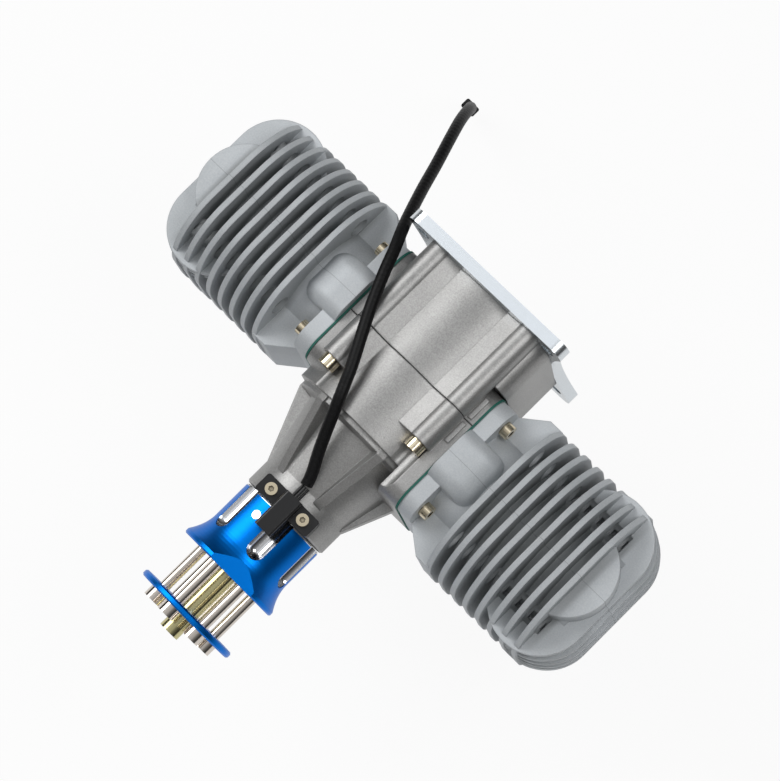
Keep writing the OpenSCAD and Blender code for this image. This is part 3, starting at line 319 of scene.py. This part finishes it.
def cast_surface(g, colour, grains, metallic, roughness, relief, corner):
    """Ends a casting's tree, with the grains in its roughness and relief."""
    return g.surface(base_color=colour, metallic=metallic,
                     roughness=grains.around(roughness, swing=0.12),
                     normal=g.bump(grains, relief, g.rounded(corner)))


def cast_alloy(name, dark, light, metallic, roughness, corner):
    g = Graph(name)
    colour, grains = blasted(g, dark, light)
    return cast_surface(g, colour, grains, metallic, roughness, CASE_RELIEF, corner)


case_alloy = cast_alloy("bead blasted case", dark=(0.275, 0.273, 0.269),
                        light=(0.35, 0.347, 0.342), metallic=0.78, roughness=0.42,
                        corner=CASE_CORNER)
dress(["crankcase_front", "crankcase_rear"], case_alloy, edge_mm=0)


# Cylinders. Each barrel and its head are one casting in a cooler alloy. Between the fins
# the colour is painted darker towards their roots, as painted shade. The mould closes on the middle
# plane and leaves a fine hairline.
# Four screws hold the foot of each casting on the crankcase.
CYLINDER_Y_MM = {"cylinder_left": -45.4, "cylinder_right": -64.4}
CYLINDER_DARK = (0.44, 0.467, 0.488)
CYLINDER_LIGHT = (0.55, 0.58, 0.607)
CYLINDER_RELIEF = 0.05 * MM
CYLINDER_CORNER = 0.7 * MM
FIN_ROOT = (31 * MM, 45 * MM)
FINS_START = (59 * MM, 62 * MM)
FINS_END = (118 * MM, 120 * MM)
ROOT_SHADE_COLOUR = (0.13, 0.135, 0.13, 1)
ROOT_SHADE_SHARE = 0.5
HAIRLINE_EDGE = (0.06 * MM, 0.18 * MM)
HAIRLINE_COLOUR = (0.08, 0.09, 0.09, 1)
HAIRLINE_SHARE = 0.4


def cylinder_casting(piece):
    g = Graph(piece + " casting")
    colour, grains = blasted(g, CYLINDER_DARK, CYLINDER_LIGHT)
    middle = CYLINDER_Y_MM[piece] * MM
    out = abs(g.axis(0))
    radius = g.distance((0, middle, 0), (0, 1, 1))
    # Painted shade: the colour darkens towards the roots of the fins, where shade falls between
    # them.
    painted_root_shade = (1 - radius.clamped(*FIN_ROOT)) * out.clamped(*FINS_START)
    below_head = 1 - out.clamped(*FINS_END)
    colour = g.mix(painted_root_shade * below_head * ROOT_SHADE_SHARE, colour, ROOT_SHADE_COLOUR)
    hairline = 1 - abs(g.axis(1) - middle).clamped(*HAIRLINE_EDGE)
    colour = g.mix(hairline * HAIRLINE_SHARE, colour, HAIRLINE_COLOUR)
    return cast_surface(g, colour, grains, metallic=0.35, roughness=0.58,
                        relief=CYLINDER_RELIEF, corner=CYLINDER_CORNER)


for piece in CYLINDER_Y_MM:
    dress([piece], cylinder_casting(piece), edge_mm=0)


# Mounting plate. Milled from thick aluminium plate, with four arms for the bolts of the
# aircraft's front wall. It is polished by hand, so its bright edges are slightly wavy.
PLATE_COLOUR = (0.74, 0.78, 0.81, 1)
WAVE_DEPTH = 0.2 * MM


def polished_plate():
    g = Graph("polished plate")
    waves = g.noise(per_metre=24, detail=1)
    scratches = g.noise(per_metre=300, detail=2)
    return g.surface(base_color=PLATE_COLOUR, metallic=1.0,
                     roughness=scratches.around(0.25, swing=0.06),
                     normal=g.bump(waves, WAVE_DEPTH))


dress(["mounting_plate"], polished_plate(), edge_mm=0.5)


# Gaskets. Sheets of pressed fibre, punched to the outline of their joints: dark green
# under the foot of each cylinder, and black between the two halves of the crankcase.
FIBRE_RELIEF = 0.03 * MM


def sheet_gasket(name, colour):
    g = Graph(name)
    fibres = g.noise(per_metre=700, detail=4)
    return g.surface(base_color=(*colour, 1), roughness=0.65, normal=g.bump(fibres, FIBRE_RELIEF))


green_sheet = sheet_gasket("green gasket", colour=(0.01, 0.12, 0.09))
black_sheet = sheet_gasket("black gasket", colour=(0.02, 0.02, 0.02))
dress(["cylinder_gasket_left", "cylinder_gasket_right"], green_sheet, edge_mm=0)
dress(["crankcase_gasket"], black_sheet, edge_mm=0)


# Screws. Steel socket heads plated in warm nickel, those of the propeller brighter, and
# a centre stud in yellow zinc. Sockets and other recesses are painted dark, as painted shade
# where little open space lies round the surface.
SOCKET_REACH = 1.6 * MM
SOCKET_SHADE_COLOUR = (0.06, 0.05, 0.035, 1)
PLATING_RELIEF = 0.002 * MM
TOOL_MARKS = 30
TOOL_RELIEF = 0.0006 * MM


def plated(name, colour, roughness):
    g = Graph(name)
    # Painted shade: an ambient occlusion node darkens the colour in sockets and other recesses.
    open_sky = g.node("ShaderNodeAmbientOcclusion", {"samples": 8},
                      {"Distance": SOCKET_REACH}, output=1)
    turned = g.noise(per_metre=900, detail=2)
    base = g.mix(open_sky.clamped(0.35, 0.8), SOCKET_SHADE_COLOUR, (*colour, 1))
    return g.surface(base_color=base, metallic=1.0, roughness=turned.around(roughness, swing=0.1),
                     normal=g.bump(turned, PLATING_RELIEF))


def machined(name, colour, roughness):
    g = Graph(name)
    rings = g.noise(per_metre=60, detail=3, vector=g.squeezed(TOOL_MARKS))
    return g.surface(base_color=(*colour, 1), metallic=1.0,
                     roughness=rings.around(roughness, swing=0.12),
                     normal=g.bump(rings, TOOL_RELIEF))


screw_nickel = plated("champagne nickel", (0.72, 0.63, 0.46), roughness=0.2)
dress(["crankcase_bolts", "cylinder_bolts_left", "cylinder_bolts_right", "sensor_screws",
       "manifold_screws", "cover_screws", "carburettor_bolts"], screw_nickel, edge_mm=0.25)
bright_plating = machined("bright plating", (0.72, 0.66, 0.60), roughness=0.12)
dress(["prop_bolts"], bright_plating, edge_mm=0.3)
yellow_zinc = machined("yellow zinc", (0.60, 0.55, 0.30), roughness=0.18)
dress(["centre_stud"], yellow_zinc, edge_mm=0.4)


# Propeller hub and washer. Turned aluminium, anodised a bright blue. The flutes and
# the rear edge of the hub are cut after anodising, so they show bare, shiny metal.
# A plated magnet for the ignition is pressed into the hub's side.
BLUE = (0.002, 0.18, 0.68, 1)
BARE_METAL = (0.72, 0.73, 0.75, 1)
BARE_SMOOTHER = 0.22
STREAKS = 14
STREAK_RELIEF = 0.003 * MM
FLUTE_RADIUS_MM = 21.5
FLUTE_WALL = ((FLUTE_RADIUS_MM - 0.35) * MM, (FLUTE_RADIUS_MM - 0.2) * MM)
FLUTE_FRONT = (-157 * MM, -156.8 * MM)
HUB_REAR_MM = -132.3
REAR_EDGE = ((HUB_REAR_MM - 0.9) * MM, (HUB_REAR_MM - 0.75) * MM)


def cut_after_anodising(g):
    """1 in the hub's flutes and on its rear edge, 0 elsewhere."""
    radius = g.distance((0, 0, 0), (1, 0, 1))
    along = g.axis(1)
    flutes = (1 - radius.clamped(*FLUTE_WALL)) * along.clamped(*FLUTE_FRONT)
    rim = along.clamped(*REAR_EDGE)
    return flutes + rim - flutes * rim


def anodised(name, bare=None):
    g = Graph(name)
    streaks = g.noise(per_metre=300, detail=2, vector=g.squeezed(STREAKS))
    colour = BLUE
    roughness = streaks.around(0.36, swing=0.1)
    if bare:
        share = bare(g)
        colour = g.mix(share, colour, BARE_METAL)
        roughness = roughness - BARE_SMOOTHER * share
    return g.surface(base_color=colour, metallic=1.0, roughness=roughness,
                     normal=g.bump(streaks, STREAK_RELIEF))


dress(["prop_hub"], anodised("anodised hub", cut_after_anodising), edge_mm=0.3)
dress(["prop_washer"], anodised("anodised washer"), edge_mm=0.25)
magnet_plating = machined("magnet plating", (0.8, 0.8, 0.8), roughness=0.2)
dress(["timing_magnet"], magnet_plating, edge_mm=0.1)


# Ignition sensor. A block of black plastic moulded round the sensor, on a folded black
# bracket that two screws hold on the nose. The lead's connector is the same plastic.
MOULD_RELIEF = 0.02 * MM


def moulding(name, colour, roughness):
    g = Graph(name)
    skin = g.noise(per_metre=1600, detail=3)
    return g.surface(base_color=(*colour, 1), roughness=roughness,
                     normal=g.bump(skin, MOULD_RELIEF))


black_moulding = moulding("black moulding", (0.004, 0.004, 0.005), roughness=0.32)
dress(["sensor_housing", "lead_connector"], black_moulding, edge_mm=0.3)


# Intake side. A milled manifold with a reed block and carbon petals, a brown board that
# keeps the heat off, and a die-cast carburettor with two covers and brass fittings. Two
# long screws hold the carburettor on the manifold, below the crankcase.
CARBURETTOR_CORNER = 0.4 * MM

milled_intake = machined("milled intake", (0.6, 0.6, 0.59), roughness=0.35)
dress(["intake_manifold", "reed_block"], milled_intake, edge_mm=0.3)
phenolic_board = moulding("phenolic board", (0.09, 0.045, 0.025), roughness=0.5)
dress(["carb_insulator"], phenolic_board, edge_mm=0.2)
carburettor_alloy = cast_alloy("carburettor casting", dark=(0.5, 0.5, 0.5),
                               light=(0.58, 0.58, 0.58), metallic=0.7, roughness=0.45,
                               corner=CARBURETTOR_CORNER)
dress(["carburettor_body"], carburettor_alloy, edge_mm=0)
grey_moulding = moulding("grey moulding", (0.05, 0.052, 0.055), roughness=0.5)
dress(["fuel_pump_cover"], grey_moulding, edge_mm=0.3)
zinc_plate = machined("zinc plate", (0.62, 0.65, 0.66), roughness=0.3)
dress(["metering_cover"], zinc_plate, edge_mm=0.3)
brass = machined("brass", (0.66, 0.47, 0.17), roughness=0.28)
dress(["mixture_screws", "fuel_nipple", "throttle_plate", "choke_plate"], brass, edge_mm=0.1)
carbon_petal = moulding("carbon petal", (0.02, 0.02, 0.022), roughness=0.3)
dress(["reed_petals"], carbon_petal, edge_mm=0)


# Spark plugs. Each has a plated steel shell, a white glazed insulator and a steel tip,
# crimped together. It is screwed into the lower side of its cylinder head.
SHELL_END_MM = -45.4
TIP_START_MM = -59.9
SHELL_EDGE = ((SHELL_END_MM - 0.05) * MM, (SHELL_END_MM + 0.05) * MM)
TIP_EDGE = ((TIP_START_MM - 0.05) * MM, (TIP_START_MM + 0.05) * MM)
GLAZE_COLOUR = (0.75, 0.74, 0.71, 1)
SHELL_COLOUR = (0.55, 0.55, 0.54, 1)


def plug_coat():
    g = Graph("spark plug")
    height = g.axis(2)
    steel = height.clamped(*SHELL_EDGE) + (1 - height.clamped(*TIP_EDGE))
    glaze = g.noise(per_metre=90, detail=2)
    return g.surface(base_color=g.mix(steel, GLAZE_COLOUR, SHELL_COLOUR),
                     metallic=steel, roughness=0.2 + 0.1 * glaze)


dress(["spark_plug_left", "spark_plug_right"], plug_coat(), edge_mm=0.2)


# Running gear. Ground steel shafts, pins, rods and bearings, alloy pistons with iron
# rings, needle cages and a rubber seal. The crankshaft is pressed together and turns in
# three ball bearings. The carburettor's two shafts and its spring are the same steel.
ground_steel = machined("ground steel", (0.55, 0.56, 0.57), roughness=0.22)
dress(["crankshaft_front", "crank_middle_web", "crankshaft_rear", "crankpin_left",
       "crankpin_right", "con_rod_left", "con_rod_right", "wrist_pin_left", "wrist_pin_right",
       "hub_key", "rear_bearing", "front_bearing", "nose_bearing", "throttle_shaft",
       "choke_shaft", "throttle_spring"], ground_steel, edge_mm=0.2)
piston_alloy = machined("piston alloy", (0.68, 0.69, 0.69), roughness=0.35)
dress(["piston_left", "piston_right"], piston_alloy, edge_mm=0.2)
ring_iron = machined("ring iron", (0.25, 0.25, 0.26), roughness=0.4)
dress(["piston_rings_left", "piston_rings_right"], ring_iron, edge_mm=0)
needle_cage = machined("needle cage", (0.6, 0.45, 0.2), roughness=0.3)
dress(["rod_bearings_left", "rod_bearings_right"], needle_cage, edge_mm=0)
seal_rubber = moulding("seal rubber", (0.02, 0.02, 0.02), roughness=0.6)
dress(["front_oil_seal"], seal_rubber, edge_mm=0.2)


# Studio floor. A wide matt white sheet under the engine. It keeps the engine's soft
# shadow, and looks almost pure white to the camera and pale in metal that mirrors it.
FLOOR_Z = -0.125
FLOOR_REACH = 9.0
FLOOR_COLOUR = (0.9, 0.9, 0.9, 1)
FLOOR_SEEN = 0.92
FLOOR_MIRRORED = 0.5
WHITE = (1, 1, 1, 1)

floor_graph = Graph("studio floor")
seen = floor_graph.node("ShaderNodeLightPath", {}, output="Is Camera Ray")
gloss = floor_graph.node("ShaderNodeLightPath", {}, output="Is Glossy Ray")
paint = floor_graph.node("ShaderNodeBsdfDiffuse", {}, {"Color": FLOOR_COLOUR})
glow = floor_graph.node("ShaderNodeEmission", {}, {"Color": WHITE, "Strength": 1.0})
floor_mix = floor_graph.node("ShaderNodeMixShader", {},
                             {0: seen * FLOOR_SEEN + gloss * FLOOR_MIRRORED, 1: paint, 2: glow})
floor_graph.node("ShaderNodeOutputMaterial", {}, {"Surface": floor_mix})

floor_mesh = bpy.data.meshes.new("floor")
floor_mesh.from_pydata([(-FLOOR_REACH, -FLOOR_REACH, FLOOR_Z), (FLOOR_REACH, -FLOOR_REACH, FLOOR_Z),
                        (FLOOR_REACH, FLOOR_REACH, FLOOR_Z), (-FLOOR_REACH, FLOOR_REACH, FLOOR_Z)],
                       [], [(0, 1, 2, 3)])
floor_mesh.materials.append(floor_graph.owner)
floor = bpy.data.objects.new("floor", floor_mesh)
bpy.context.scene.collection.objects.link(floor)


# Studio room. It is dim at eye level and bright overhead, with one soft panel that the
# plate's edge mirrors. The camera itself sees the room white.
ROOM_LEVELS = ((0.0, 0.03), (0.4, 0.07), (0.75, 0.22), (0.92, 0.48), (1.0, 0.55))
PANEL_TOWARD = (-0.16, 0.17, 0.972)
PANEL_EDGE = (0.975, 0.9995)
PANEL_COLOUR = (1.25, 1.28, 1.33, 1)

world = bpy.data.worlds.new("studio")
room = Graph(world)
direction = room.node("ShaderNodeTexCoord", output="Generated")
upward = room.node("ShaderNodeSeparateXYZ", {}, {"Vector": direction}, output=2)
toward = room.node("ShaderNodeVectorMath", {"operation": "DOT_PRODUCT"},
                   {0: direction, 1: PANEL_TOWARD}, output=1)
walls = room.node("ShaderNodeValToRGB", {"stops": ROOM_LEVELS}, {"Fac": upward})
lit_room = room.mix(toward.clamped(*PANEL_EDGE), walls, PANEL_COLOUR)
camera_ray = room.node("ShaderNodeLightPath", output="Is Camera Ray")
sky = room.node("ShaderNodeBackground", {},
                {"Color": room.mix(camera_ray, lit_room, WHITE), "Strength": 1.0})
room.node("ShaderNodeOutputWorld", {}, {"Surface": sky})
bpy.context.scene.world = world


# Studio lamps. Three square soft boxes aimed at the crankcase: the key from the left of
# the engine, a weaker one from its right and a faint one from the front.
LAMPS_AIM = Vector((0, -0.08, 0))


def lamp(name, place, size, watts):
    data = bpy.data.lights.new(name, "AREA")
    data.size = size
    data.energy = watts
    lamp_object = bpy.data.objects.new(name, data)
    lamp_object.location = place
    aim = LAMPS_AIM - Vector(place)
    lamp_object.rotation_euler = aim.to_track_quat("-Z", "Y").to_euler()
    bpy.context.scene.collection.objects.link(lamp_object)


lamp("key", place=(-0.8, -0.1, 0.88), size=0.7, watts=6.2)
lamp("right", place=(0.5, 0.25, 0.9), size=0.45, watts=3.0)
lamp("front", place=(0.2, -0.95, 0.45), size=0.5, watts=1.0)

bpy.context.scene.view_settings.view_transform = "Standard"
